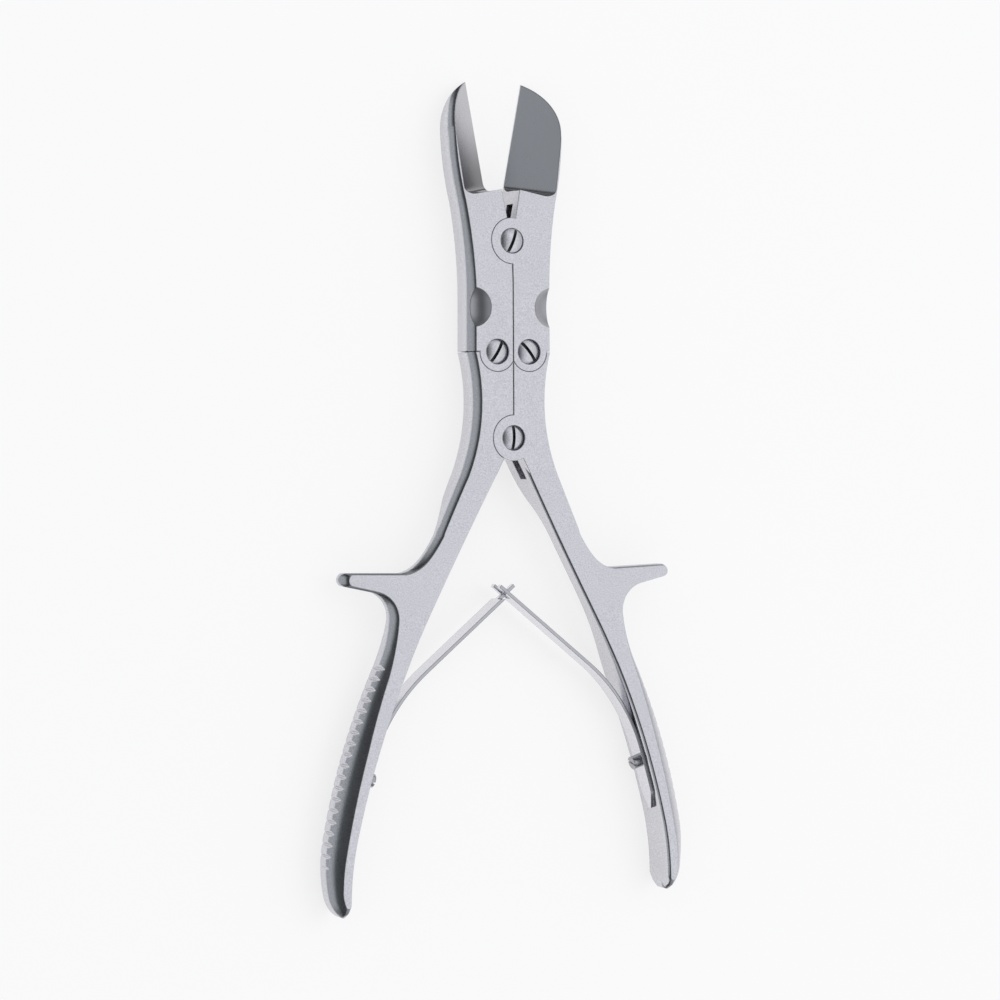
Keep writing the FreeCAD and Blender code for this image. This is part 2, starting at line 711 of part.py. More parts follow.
def leaf_spring(side):
    """A thin leaf that lies on the handle's inner side, then leans over to the middle."""
    piece = body(f"{side}_leaf_spring")
    face = "(leaf_seat + leaf_thick)"
    lift_x, lift_y = inner_side(LEAF_LIFT, "leaf_seat")

    def bend(inset):
        reach = f"(leaf_bend_radius - {inset})"
        x = f"({lift_x} - leaf_bend_radius * cos({LEAF_LIFT}) + {reach} * cos(leaf_lean))"
        y = f"({lift_y} - leaf_bend_radius * sin({LEAF_LIFT}) + {reach} * sin(leaf_lean))"
        return x, y

    outer_x, outer_y = bend("0")
    inner_x, inner_y = bend("leaf_thick")
    middle_x, middle_y = bend("leaf_thick / 2")
    run = f"({middle_x} / sin(leaf_lean) + leaf_past)"
    cross_y = f"({middle_y} + {middle_x} / tan(leaf_lean))"
    form = sketch(piece, f"{side}_leaf", f"{MID} - leaf_width / 2")
    outline(form, swap([
        (*inner_side(LEAF_END, "leaf_seat"), "inner_radius - leaf_seat", "left"),
        (lift_x, lift_y, "leaf_bend_radius", "left"),
        (outer_x, outer_y),
        (f"{outer_x} - {run} * sin(leaf_lean)", f"{outer_y} + {run} * cos(leaf_lean)"),
        (f"{inner_x} - {run} * sin(leaf_lean)", f"{inner_y} + {run} * cos(leaf_lean)"),
        (inner_x, inner_y, "leaf_bend_radius - leaf_thick", "right"),
        (*inner_side(LEAF_LIFT, face), f"inner_radius - {face}", "right"),
        inner_side(LEAF_END, face),
    ], side))
    pad(piece, form, "leaf_width")
    # Pointed root
    _, end_y = inner_side(LEAF_END, face)
    point = sketch(piece, f"{side}_leaf_point", on="YZ_Plane")
    for way in ("+", "-"):
        outline(point, [
            (f"{end_y} - 1", f"{MID} {way} leaf_point / 2"),
            (f"{end_y} + leaf_point_run", f"{MID} {way} leaf_width / 2"),
            (f"{end_y} - 1", f"{MID} {way} leaf_width"),
        ])
    pocket(piece, point, "4 * guard_half", both_ways=True)
    # The crossing: a tongue on the left leaf, a fork on the right one
    crossing = sketch(piece, f"{side}_leaf_crossing", on="YZ_Plane")
    low, high = f"{cross_y} - fork_depth", f"{cross_y} + 10"
    if side == "right":
        half = "(tongue_width / 2 + fork_gap)"
        bands = [(f"{MID} - {half}", f"{MID} + {half}")]
    else:
        half = "tongue_width / 2"
        bands = [(f"{MID} + {half}", f"{MID} + leaf_width"),
                 (f"{MID} - leaf_width", f"{MID} - {half}")]
    for bottom, top in bands:
        outline(crossing, [(low, bottom), (high, bottom), (high, top), (low, top)])
    pocket(piece, crossing, "4 * guard_half", both_ways=True)
    bore = piece.newObject("PartDesign::SubtractiveCylinder", f"{side}_leaf_bore")
    bind(bore, "Radius", "spring_shank_radius + screw_fit")
    bind(bore, "Height", "leaf_thick + 3")
    bind(bore, "Placement", aimed(side, SPRING_SCREW, f"{face} + 1", "90"))
    checked(piece, bore, "less")


def spring_screw(side):
    label = f"{side}_spring_screw"
    piece = body(label)
    revolved(piece, f"{label}_profile", [
        ("0", "-spring_shank_deep"),
        ("spring_shank_radius", "-spring_shank_deep"),
        ("spring_shank_radius", "0"),
        ("spring_head_radius", "0"),
        ("spring_head_radius", "spring_head_thick"),
        ("0", "spring_head_thick"),
    ])
    driver_slot(piece, f"{label}_slot", "spring_head_thick + 0.1", "spring_head_radius",
                "spring_slot_width", "spring_slot_depth + 0.1")
    bind(piece, "Placement", aimed(side, SPRING_SCREW,
                                   "(leaf_seat + leaf_thick + spring_head_seat)", "-90",
                                   "(handle_reach - jaw_reach) / 2"))


for side_name in ("left", "right"):
    jaw(side_name)
    handle(side_name)
    leaf_spring(side_name)
    spring_screw(side_name)
pivot_screw("front_pivot_screw", "0", "pivot_span", "front_slot_angle")
pivot_screw("rear_pivot_screw", "0", "0", "rear_slot_angle")
pivot_screw("left_link_screw", "-link_half", "link_rise", "left_slot_angle")
pivot_screw("right_link_screw", "link_half", "link_rise", "right_slot_angle")
doc.recompute()

bodies = [o for o in doc.Objects if o.TypeId == "PartDesign::Body"]
for thing in doc.Objects:
    if "Invalid" in thing.State or "Error" in thing.State:
        raise RuntimeError(f"{thing.Name} failed")
for piece in bodies:
    if piece.Shape.isNull() or not piece.Shape.isValid() or len(piece.Shape.Solids) != 1:
        raise RuntimeError(f"{piece.Label} isn't one sound solid")

os.makedirs("parts", exist_ok=True)
for piece in bodies:
    piece.Shape.exportStep(f"parts/{piece.Label}.step")
    print(piece.Label, round(piece.Shape.Volume, 1))
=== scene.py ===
# %% [markdown]
# Bone cutting forceps, double action
#
# The real tool is all stainless steel: two bevelled jaws, two long handles with a guard for the
# finger, four pivot screws, and two thin leaf springs that hook into each other between the
# handles, each held by a small screw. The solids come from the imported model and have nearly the
# right shape, so this lesson is mostly about what makes bare steel look like steel: what it
# reflects, and how finely each face was finished.

import math

import bmesh
import bpy
from mathutils import Matrix, Vector
from mathutils.kdtree import KDTree


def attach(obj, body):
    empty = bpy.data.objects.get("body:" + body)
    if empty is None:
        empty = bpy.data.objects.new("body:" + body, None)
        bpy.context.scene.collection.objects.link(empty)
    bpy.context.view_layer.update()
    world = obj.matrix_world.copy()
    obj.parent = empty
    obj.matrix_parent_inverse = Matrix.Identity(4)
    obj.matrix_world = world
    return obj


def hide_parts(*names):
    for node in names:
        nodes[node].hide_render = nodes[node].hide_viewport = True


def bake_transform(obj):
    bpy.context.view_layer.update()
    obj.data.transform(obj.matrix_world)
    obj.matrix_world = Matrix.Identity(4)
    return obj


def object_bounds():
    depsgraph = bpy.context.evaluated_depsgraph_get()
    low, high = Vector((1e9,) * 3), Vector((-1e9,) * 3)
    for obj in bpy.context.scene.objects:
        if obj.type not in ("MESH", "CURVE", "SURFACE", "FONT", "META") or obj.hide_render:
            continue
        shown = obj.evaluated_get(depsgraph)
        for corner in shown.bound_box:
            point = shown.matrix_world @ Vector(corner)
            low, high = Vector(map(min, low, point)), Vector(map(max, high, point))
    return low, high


MM = 0.001
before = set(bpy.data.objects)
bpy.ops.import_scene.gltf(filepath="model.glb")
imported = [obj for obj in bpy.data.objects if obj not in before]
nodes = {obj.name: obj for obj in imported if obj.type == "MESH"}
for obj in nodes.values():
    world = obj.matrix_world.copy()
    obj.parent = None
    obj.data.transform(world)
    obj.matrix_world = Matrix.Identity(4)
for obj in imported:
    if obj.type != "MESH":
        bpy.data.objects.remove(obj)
cad_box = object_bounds()
print("nodes:", sorted(nodes))
print("box of the solids:", cad_box)

# %% [markdown]
# Camera
#
# The photograph was taken from above and somewhat to the left, through a long lens. A camera is
# easiest to place as a designer speaks of it: the point that it looks at, how far it is turned
# and tipped, and how far away it stands. The pieces of that description become one matrix.

# %% Place the camera
LOOK_AT = Vector((-5.16, -1.76, 14.0)) * MM
CAMERA_DISTANCE = 921 * MM
CAMERA_TURN = math.radians(27.26)
CAMERA_TIP = math.radians(1.60)
CAMERA_ROLL = math.radians(-0.24)
FOCAL_PIXELS = 2830.5
FRAME_PIXELS = 1000
SENSOR_WIDTH = 36.0
NEAREST_SEEN, FARTHEST_SEEN = 0.05, 20.0


def camera_axes():
    """The camera's right, up and backward directions in the model's frame."""
    back = Vector((-math.sin(CAMERA_TURN) * math.cos(CAMERA_TIP),
                   math.sin(CAMERA_TIP),
                   math.cos(CAMERA_TURN) * math.cos(CAMERA_TIP)))
    right = Vector((0, 1, 0)).cross(back).normalized()
    up = back.cross(right)
    along, across = math.cos(CAMERA_ROLL), math.sin(CAMERA_ROLL)
    return along * right + across * up, along * up - across * right, back


def place_camera():
    right, up, back = camera_axes()
    lens = bpy.data.cameras.new("camera")
    lens.sensor_width = SENSOR_WIDTH
    lens.sensor_fit = "HORIZONTAL"
    lens.lens = lens.sensor_width * FOCAL_PIXELS / FRAME_PIXELS
    lens.clip_start = NEAREST_SEEN
    lens.clip_end = FARTHEST_SEEN
    camera = bpy.data.objects.new("camera", lens)
    bpy.context.scene.collection.objects.link(camera)
    spot = LOOK_AT + back * CAMERA_DISTANCE
    turn = Matrix((right, up, back)).transposed().to_4x4()
    camera.matrix_world = Matrix.Translation(spot) @ turn
    bpy.context.scene.camera = camera
    print(f"camera: {lens.lens:.1f} mm lens at {tuple(round(v, 3) for v in spot)}")


place_camera()
bpy.context.scene.view_settings.view_transform = "Standard"

# %% [markdown]
# Helpers for node trees
#
# Every material below is a small tree of nodes. A few helpers keep those trees short. They make a
# node and set it, join two nodes, do a sum with a Math node, and build or use a node group.

# %% Helpers that make and join nodes


def add_node(tree, kind, **settings):
    """A new node with its own properties set."""
    node = tree.nodes.new(kind)
    for name, value in settings.items():
        setattr(node, name, value)
    return node


def set_inputs(node, **values):
    """Sets inputs by name, with an underscore for each space in the name."""
    for name, value in values.items():
        node.inputs[name.replace("_", " ")].default_value = value
    return node


def join(tree, source, target):
    tree.links.new(source, target)


def feed(tree, sockets, values):
    """Gives each socket its value, which is a number, a vector or another node's output."""
    for socket, value in zip(sockets, values):
        if isinstance(value, bpy.types.NodeSocket):
            join(tree, value, socket)
        else:
            socket.default_value = value


print("helpers:", [f.__name__ for f in (add_node, set_inputs, join, feed)])

# %% Helpers that work on values


def sum_node(tree, operation, *values):
    node = add_node(tree, "ShaderNodeMath", operation=operation)
    feed(tree, node.inputs, values)
    return node.outputs[0]


def between(tree, value, low, high, to_low=0.0, to_high=1.0, soft=True):
    """Turns a range of one value into a range of another, with soft ends."""
    kind = "SMOOTHSTEP" if soft else "LINEAR"
    node = add_node(tree, "ShaderNodeMapRange", interpolation_type=kind)
    set_inputs(node, From_Min=low, From_Max=high, To_Min=to_low, To_Max=to_high)
    join(tree, value, node.inputs["Value"])
    return node.outputs["Result"]


def vector_node(tree, operation, first, second, output="Vector"):
    node = add_node(tree, "ShaderNodeVectorMath", operation=operation)
    feed(tree, node.inputs, (first, second))
    return node.outputs[output]


def mix_value(tree, share, first, second):
    """A number that goes from the first to the second as the share goes from 0 to 1."""
    node = add_node(tree, "ShaderNodeMix", data_type="FLOAT")
    feed(tree, (node.inputs[0], node.inputs[2], node.inputs[3]), (share, first, second))
    return node.outputs[0]


def mix_shaders(tree, share, first, second):
    node = add_node(tree, "ShaderNodeMixShader")
    for socket, value in zip(node.inputs, (share, first, second)):
        join(tree, value, socket)
    return node.outputs["Shader"]


def object_place(tree):
    """Where each point lies in the model's frame."""
    return add_node(tree, "ShaderNodeTexCoord").outputs["Object"]


def split(tree, vector):
    """The X, Y and Z of a vector."""
    parts = add_node(tree, "ShaderNodeSeparateXYZ")
    join(tree, vector, parts.inputs[0])
    return parts.outputs


print("helpers:", [f.__name__ for f in (sum_node, between, vector_node, mix_value)])
print("helpers:", [f.__name__ for f in (mix_shaders, object_place, split)])

# %% Helpers for materials and groups


def empty_material(name):
    material = bpy.data.materials.new(name)
    material.use_nodes = True
    material.node_tree.nodes.clear()
    return material, material.node_tree


def new_group(name, inputs, outputs):
    """A node group. Each socket is a name, a type and, for an input, its usual value."""
    tree = bpy.data.node_groups.new(name, "ShaderNodeTree")
    for label, kind, usual in inputs:
        socket = tree.interface.new_socket(label, in_out="INPUT", socket_type=kind)
        socket.default_value = usual
    for label, kind in outputs:
        tree.interface.new_socket(label, in_out="OUTPUT", socket_type=kind)
    start = tree.nodes.new("NodeGroupInput").outputs
    end = tree.nodes.new("NodeGroupOutput").inputs
    return tree, start, end


def use_group(tree, group, **values):
    return set_inputs(add_node(tree, "ShaderNodeGroup", node_tree=group), **values).outputs


print("helpers:", [f.__name__ for f in (empty_material, new_group, use_group)])

# %% [markdown]
# Studio
#
# Polished steel shows the room, so the room is designed like a product photographer's: a wide
# soft light overhead and on the right, a dark card on the left, a grey wall below it, and dark
# ends. A face that looks up shows the light and is pale. Each rounded edge sweeps past the card
# and draws the dark line that outlines every real steel tool. Lower down, the sides show the
# grey wall, and then the white table.
#
# The room is written as brightness round a half circle, from the left horizon over the top to
# the right horizon. An angle of zero is straight up.

# %% Brightness of the room
WHITE = (1, 1, 1, 1)
# Angle from straight up in degrees, left side negative, and how bright the room is there
ROOM = [
    (-90, 0.42),
    (-66, 0.50),
    (-57, 0.42),
    (-48, 0.050),
    (-28, 0.022),
    (-18, 0.16),
    (-6, 0.55),
    (8, 0.86),
    (27, 0.95),
    (48, 0.88),
    (90, 0.55),
]
# How far towards an end of the room its shade starts and is full, and how much light it takes
END_START, END_FULL, END_SHADE = 0.62, 0.88, 0.68
PALE_TINT = (0.975, 0.985, 1.02)
DARK_TINT = (0.90, 1.00, 1.035)
DARK_BELOW = 0.5
# What lights the parts that are not mirrors
SOFT_COLOUR, SOFT_STRENGTH = (0.97, 0.97, 1.0, 1), 0.88
print("room:", len(ROOM), "steps of brightness from left to right")

# %% World


def background(tree, colour, strength):
    node = add_node(tree, "ShaderNodeBackground")
    feed(tree, (node.inputs["Color"], node.inputs["Strength"]), (colour, strength))
    return node.outputs["Background"]


def room_colours(tree, angle):
    """The brightness of the room at an angle, as a ramp with one stop for each step."""
    share = between(tree, angle, -math.pi / 2, math.pi / 2, soft=False)
    ramp = add_node(tree, "ShaderNodeValToRGB")
    join(tree, share, ramp.inputs["Fac"])
    stops = ramp.color_ramp.elements
    while len(stops) < len(ROOM):
        stops.new(0.5)
    for stop, (degrees, value) in zip(stops, ROOM):
        stop.position = (degrees + 90) / 180
        tint = DARK_TINT if value < DARK_BELOW else PALE_TINT
        stop.color = (*(value * part for part in tint), 1)
    return ramp.outputs["Color"]


def room_world():
    """Reflections show the room, the camera sees plain white, and all else gets soft light."""
    world = bpy.data.worlds.new("room")
    bpy.context.scene.world = world
    world.use_nodes = True
    tree = world.node_tree
    tree.nodes.clear()
    way = split(tree, add_node(tree, "ShaderNodeTexCoord").outputs["Generated"])
    angle = sum_node(tree, "ARCTAN2", way["X"], way["Z"])
    along = sum_node(tree, "ABSOLUTE", way["Y"])
    room = background(tree, room_colours(tree, angle),
                      between(tree, along, END_START, END_FULL, 1.0, 1.0 - END_SHADE))
    soft = background(tree, SOFT_COLOUR, SOFT_STRENGTH)
    white = background(tree, WHITE, 1.0)
    path = add_node(tree, "ShaderNodeLightPath").outputs
    mirrored = mix_shaders(tree, path["Is Glossy Ray"], soft, room)
    seen = mix_shaders(tree, path["Is Camera Ray"], mirrored, white)
    join(tree, seen, add_node(tree, "ShaderNodeOutputWorld").inputs["Surface"])
    print("world:", len(tree.nodes), "nodes")


room_world()

# %% [markdown]
# Lamp and table
#
# The lamp only has to draw a soft shadow on the table. It is hidden from reflections, because
# the room above already holds the light that the steel shows. The table is white paper: part of
# what the camera sees of it is plain white, and the rest is lit, so that the shadow stays. From
# below it is clear, so that the back of the tool can be looked at too.

# %% Lamp
LAMP_SIZE, LAMP_POWER = 0.6, 1.1
LAMP_SIDE = (0.42, 0.16, 0.9)


def soft_lamp():
    """A square lamp one metre from the middle of the tool, and facing it."""
    light = bpy.data.lights.new("soft_lamp", "AREA")
    light.shape = "SQUARE"
    light.size = LAMP_SIZE
    light.energy = LAMP_POWER
    lamp = bpy.data.objects.new("soft_lamp", light)
    bpy.context.scene.collection.objects.link(lamp)
    lamp.visible_glossy = False
    lamp_from = Vector(LAMP_SIDE).normalized()
    turn = lamp_from.to_track_quat("Z", "Y").to_matrix().to_4x4()
    lamp.matrix_world = Matrix.Translation(lamp_from) @ turn
    print("lamp:", LAMP_SIZE, "m square,", LAMP_POWER, "W")


soft_lamp()

# %% Table
TABLE_SIZE = 3.0
TABLE_GAP = 0.2 * MM
PLAIN_WHITE_SHARE = 0.72
PAPER = (0.9, 0.9, 0.91, 1)


def paper_material():
    material, tree = empty_material("white_paper")
    lit = set_inputs(add_node(tree, "ShaderNodeBsdfDiffuse"), Color=PAPER)
    glow = set_inputs(add_node(tree, "ShaderNodeEmission"), Color=WHITE, Strength=1.0)
    glass = add_node(tree, "ShaderNodeBsdfTransparent")
    path = add_node(tree, "ShaderNodeLightPath").outputs
    seen = sum_node(tree, "MAXIMUM", path["Is Camera Ray"], path["Is Glossy Ray"])
    seen = sum_node(tree, "MAXIMUM", seen, path["Is Transmission Ray"])
    plain = sum_node(tree, "MULTIPLY", seen, PLAIN_WHITE_SHARE)
    paper = mix_shaders(tree, plain, lit.outputs[0], glow.outputs[0])
    below = add_node(tree, "ShaderNodeNewGeometry").outputs["Backfacing"]
    surface = mix_shaders(tree, below, paper, glass.outputs[0])
    join(tree, surface, add_node(tree, "ShaderNodeOutputMaterial").inputs["Surface"])
    return material


def white_table():
    half = TABLE_SIZE / 2
    corners = [(-half, -half, 0), (half, -half, 0), (half, half, 0), (-half, half, 0)]
    mesh = bpy.data.meshes.new("table")
    mesh.from_pydata(corners, [], [(0, 1, 2, 3)])
    table = bpy.data.objects.new("table", mesh)
    bpy.context.scene.collection.objects.link(table)
    table.location.z = cad_box[0][2] - TABLE_GAP
    mesh.materials.append(paper_material())
    print("table:", TABLE_SIZE, "m square")


white_table()

# %% [markdown]
# Shared effects
#
# A node group is a small machine that several materials use. Two are enough here. The first
# rounds every sharp edge a little, as a polishing wheel does, and tells how near an edge is. The
# second makes the faint unevenness of hand-finished steel: fine grain, soft rub marks and specks.

# %% Node group: rounded edges
EDGE_RADIUS = 0.42 * MM
EDGE_SAMPLES = 8
# The cosine between the rounded and the plain direction at which an edge counts in full
FULL_EDGE = 0.80


def edge_group():
    tree, start, end = new_group(
        "rounded_edge",
        [("Radius", "NodeSocketFloat", EDGE_RADIUS)],
        [("Normal", "NodeSocketVector"), ("Edge", "NodeSocketFloat")])
    rounded = add_node(tree, "ShaderNodeBevel", samples=EDGE_SAMPLES)
    join(tree, start["Radius"], rounded.inputs["Radius"])
    surface = add_node(tree, "ShaderNodeNewGeometry")
    straight = vector_node(tree, "DOT_PRODUCT", rounded.outputs[0],
                           surface.outputs["Normal"], "Value")
    join(tree, rounded.outputs[0], end["Normal"])
    join(tree, between(tree, straight, 1.0, FULL_EDGE), end["Edge"])
    return tree


edge = edge_group()
print("group:", edge.name)

# %% Node group: hand finish
GRAIN_SCALE, CLOUD_SCALE, SPECK_SCALE = 900.0, 55.0, 2600.0
# How many times longer than wide the grain is
GRAIN_LENGTH = 6.0
FINE_SHARE = 0.5
MIDDLE = 0.5


def noise(tree, vector, **values):
    node = set_inputs(add_node(tree, "ShaderNodeTexNoise"), **values)
    join(tree, vector, node.inputs["Vector"])
    return node


def finish_group():
    tree, start, end = new_group(
        "hand_finish",
        [("Grain", "NodeSocketFloat", GRAIN_SCALE)],
        [("Roughness", "NodeSocketFloat"), ("Height", "NodeSocketFloat"),
         ("Tone", "NodeSocketFloat"), ("Speck", "NodeSocketFloat")])
    place = object_place(tree)
    squeeze = Vector((1.0, 1.0 / GRAIN_LENGTH, 1.0))
    grain = noise(tree, vector_node(tree, "MULTIPLY", place, squeeze), Detail=3.0, Roughness=0.6)
    join(tree, start["Grain"], grain.inputs["Scale"])
    cloud = noise(tree, place, Scale=CLOUD_SCALE, Detail=3.0)
    speck = noise(tree, place, Scale=SPECK_SCALE, Detail=1.0)
    rub = sum_node(tree, "SUBTRACT", cloud.outputs["Fac"], MIDDLE)
    fine = sum_node(tree, "SUBTRACT", grain.outputs["Fac"], MIDDLE)
    join(tree, sum_node(tree, "MULTIPLY_ADD", fine, FINE_SHARE, rub), end["Roughness"])
    join(tree, grain.outputs["Fac"], end["Height"])
    join(tree, rub, end["Tone"])
    join(tree, sum_node(tree, "SUBTRACT", speck.outputs["Fac"], MIDDLE), end["Speck"])
    return tree


finish = finish_group()
print("group:", finish.name)

# %% [markdown]
# Steel
#
# All the materials are the same metal. What differs is the finish, and the finish follows the
# shape: flat faces are satin, sides are polished, the cutting bevels lie between the two, and the
# hollows on the jaws are left rough. A few places also differ by painted shade: the left bevel,
# the corner at the foot of each bevel, the driver slots and the spring screws are darkened where
# the real tool shows shade. The angle of the face and the place on the tool are enough to tell
# these apart, so one function makes them all.

# %% The steel
PALE = Vector((0.655, 0.655, 0.690))
# How level a surface has to be to start to count, and to count in full, as a flat face
FACE_LIMITS = (0.955, 0.985)
# How much the marks change the roughness and the tone
ROUGH_SHARE, TONE_SHARE, SPECK_SHARE = 0.10, 0.10, 0.65
EDGE_ROUGH, LEAST_ROUGH = 0.12, 0.05


def true_normal(tree):
    return split(tree, add_node(tree, "ShaderNodeNewGeometry").outputs["True Normal"])


def steel(name, face, side, tone=1.0, grain=GRAIN_SCALE, height=0.004, extra=None):
    """Steel with its own roughness for flat faces and for sides. Extra adds local finishes and
    painted shade.
    """
    material, tree = empty_material(name)
    shader = set_inputs(add_node(tree, "ShaderNodeBsdfPrincipled"), Metallic=1.0)
    flat = sum_node(tree, "ABSOLUTE", true_normal(tree)["Z"])
    is_face = between(tree, flat, *FACE_LIMITS)
    round_edge = use_group(tree, edge)
    marks = use_group(tree, finish, Grain=grain)
    rough = mix_value(tree, is_face, side, face)
    bright = sum_node(tree, "MULTIPLY_ADD", marks["Speck"], SPECK_SHARE, tone)
    bump = marks["Height"]
    if extra:
        rough, bright, bump = extra(tree, rough, bright, bump, flat)
    rough = sum_node(tree, "MULTIPLY_ADD", marks["Roughness"], ROUGH_SHARE, rough)
    rough = mix_value(tree, round_edge["Edge"], rough, EDGE_ROUGH)
    join(tree, sum_node(tree, "MAXIMUM", rough, LEAST_ROUGH), shader.inputs["Roughness"])
    bright = sum_node(tree, "MULTIPLY_ADD", marks["Tone"], TONE_SHARE, bright)
    colour = add_node(tree, "ShaderNodeVectorMath", operation="SCALE")
    colour.inputs[0].default_value = PALE
    join(tree, bright, colour.inputs["Scale"])
    join(tree, colour.outputs[0], shader.inputs["Base Color"])
    relief = add_node(tree, "ShaderNodeBump")
    set_inputs(relief, Strength=1.0, Distance=height * MM)
    join(tree, bump, relief.inputs["Height"])
    join(tree, round_edge["Normal"], relief.inputs["Normal"])
    join(tree, relief.outputs[0], shader.inputs["Normal"])
    output = add_node(tree, "ShaderNodeOutputMaterial")
    join(tree, shader.outputs[0], output.inputs["Surface"])
    return material


print("colour of the steel:", [round(part, 3) for part in PALE])

# %% [markdown]
# The jaws have three local marks. The bevels are found by their slope, and the left one is
# darkened with painted shade, most towards its root. The hollows are found by their place: each is
# part of a ball, so a point belongs to it when it lies on that ball. The corner at the foot of
# each bevel, darkened with painted shade, is found by both.

# %% Finishes and painted shade of the jaws
HOLLOW_HALF, HOLLOW_ALONG, HOLLOW_UP = 14.4, 60.9, 18.3
HOLLOW_MIDDLES = [Vector((side * HOLLOW_HALF, HOLLOW_ALONG, HOLLOW_UP)) * MM
                  for side in (-1, 1)]
HOLLOW_RADIUS = 7.75 * MM
# How far outside that ball a point may lie: at most, and to count in full
HOLLOW_SLACK, HOLLOW_SURE = 0.10 * MM, 0.04 * MM
HOLLOW_ROUGH, HOLLOW_TONE = 0.42, 0.66
BEVEL_SLOPE = (0.60, 0.66, 0.80, 0.86)
BEVEL_ROUGH = 0.26
# Where along Y, in metres, the left bevel's painted shade goes from that of its tip to its root's
ROOT_SHADE_FROM = (0.124, 0.103)
# Paleness of the right bevel, and painted shade on the left one at its tip and at its root
RIGHT_TONE, TIP_SHADE_TONE, ROOT_SHADE_TONE = 0.98, 0.78, 0.25
# Where along X the right bevel's tone ends, and where the left one's painted shade is full
LEFT_SHADE_FROM = (0.0, -1.0 * MM)
# The corner at the foot of each bevel, darkened with painted shade: its place along Y, how far its
# surface looks along Y, and how level it is
CORNER_FROM, CORNER_TO = (0.0965, 0.0975), (0.1045, 0.1025)
CORNER_FACING, CORNER_LEVEL = (0.35, 0.60), (0.97, 0.90)
CORNER_SHADE_TONE = 0.30


def all_of(tree, first, *others):
    """The product of shares, which is full only where all of them are."""
    for other in others:
        first = sum_node(tree, "MULTIPLY", first, other)
    return first


def jaw_finish_and_shade(tree, rough, bright, bump, flat):
    place = object_place(tree)
    spot = split(tree, place)
    low, low_full, high_full, high = BEVEL_SLOPE
    hollow = 0.0
    for middle in HOLLOW_MIDDLES:
        gap = vector_node(tree, "DISTANCE", place, middle, "Value")
        inside = between(tree, gap, HOLLOW_RADIUS + HOLLOW_SLACK, HOLLOW_RADIUS + HOLLOW_SURE)
        hollow = sum_node(tree, "MAXIMUM", inside, hollow)
    is_bevel = all_of(tree, between(tree, flat, low, low_full),
                      between(tree, flat, high, high_full),
                      sum_node(tree, "SUBTRACT", 1.0, hollow))
    left = between(tree, spot["X"], *LEFT_SHADE_FROM)
    root = between(tree, spot["Y"], *ROOT_SHADE_FROM)
    # Painted shade: the left bevel is darker than the right, and darkest at its root
    bevel_painted_shade = mix_value(tree, left, RIGHT_TONE, mix_value(tree, root, TIP_SHADE_TONE, ROOT_SHADE_TONE))
    # Painted shade in the corner at the foot of each bevel
    corner = all_of(tree, between(tree, true_normal(tree)["Y"], *CORNER_FACING),
                    between(tree, spot["Y"], *CORNER_TO),
                    between(tree, spot["Y"], *CORNER_FROM),
                    between(tree, flat, *CORNER_LEVEL))
    rough = mix_value(tree, is_bevel, rough, BEVEL_ROUGH)
    rough = mix_value(tree, hollow, rough, HOLLOW_ROUGH)
    bright = mix_value(tree, is_bevel, bright, bevel_painted_shade)
    bright = mix_value(tree, hollow, bright, HOLLOW_TONE)
    bright = mix_value(tree, corner, bright, CORNER_SHADE_TONE)
    return rough, bright, bump


print("hollows on the jaws:", len(HOLLOW_MIDDLES))

# %% [markdown]
# Screw heads are turned on a lathe, which leaves fine rings. The rings follow the distance from
# the screw's own axis, so each head gets its own copy of the material with its axis in it.

# %% Finish of the screw heads
RING_STEP = 0.16 * MM
RING_SHARE = 0.5
# The driver slot: half its width, and the height of its floor in mm
SLOT_HALF = 0.47 * MM
SLOT_FLOOR = 13.35
# How far past the slot's walls, and below its floor, the shade ends and is full
SLOT_PAST, SLOT_SURE = 0.05 * MM, 0.01 * MM
FLOOR_PAST, FLOOR_SURE = 0.10 * MM, 0.02 * MM
SLOT_ROUGH, SLOT_TONE = 0.6, 0.09
LEVEL, UP = Vector((1.0, 1.0, 0.0)), Vector((0.0, 0.0, 1.0))


def ring_finish(axis, slot_angle):
    """Turning rings, and shade in the driver slot, which lies at its own angle."""
    across = Vector((-math.sin(slot_angle), math.cos(slot_angle), 0))

    def extra(tree, rough, bright, bump, flat):
        off = vector_node(tree, "SUBTRACT", object_place(tree), axis)
        reach = add_node(tree, "ShaderNodeVectorMath", operation="LENGTH")
        join(tree, vector_node(tree, "MULTIPLY", off, LEVEL), reach.inputs[0])
        turns = sum_node(tree, "DIVIDE", reach.outputs["Value"], RING_STEP / math.tau)
        rings = sum_node(tree, "SINE", turns)
        side_step = vector_node(tree, "DOT_PRODUCT", off, across, "Value")
        side_step = sum_node(tree, "ABSOLUTE", side_step)
        height = vector_node(tree, "DOT_PRODUCT", off, UP, "Value")
        floor = SLOT_FLOOR * MM
        in_slot = all_of(
            tree, between(tree, side_step, SLOT_HALF + SLOT_PAST, SLOT_HALF + SLOT_SURE),
            between(tree, height, floor - FLOOR_PAST, floor - FLOOR_SURE))
        rough = mix_value(tree, in_slot, rough, SLOT_ROUGH)
        bright = mix_value(tree, in_slot, bright, SLOT_TONE)
        return rough, bright, sum_node(tree, "MULTIPLY_ADD", rings, RING_SHARE, bump)
    return extra


print(f"rings: {RING_STEP / MM:.2f} mm apart")

# %% [markdown]
# The leaves are sheared from rolled strip, so their edges are duller and darker than their sides.
# Now every solid gets its steel. The spring screws stay in sight and wear it directly, darkened
# with painted shade for the shade between the handles. Our own jaws, handles and leaves, which
# come next, copy it from the solids.

# %% Make the steels
SHEARED_FROM = (0.90, 0.98)
SHEARED_TONE = 0.76


def leaf_finish(tree, rough, bright, bump, flat):
    sheared = between(tree, flat, *SHEARED_FROM)
    return rough, mix_value(tree, sheared, bright, SHEARED_TONE), bump
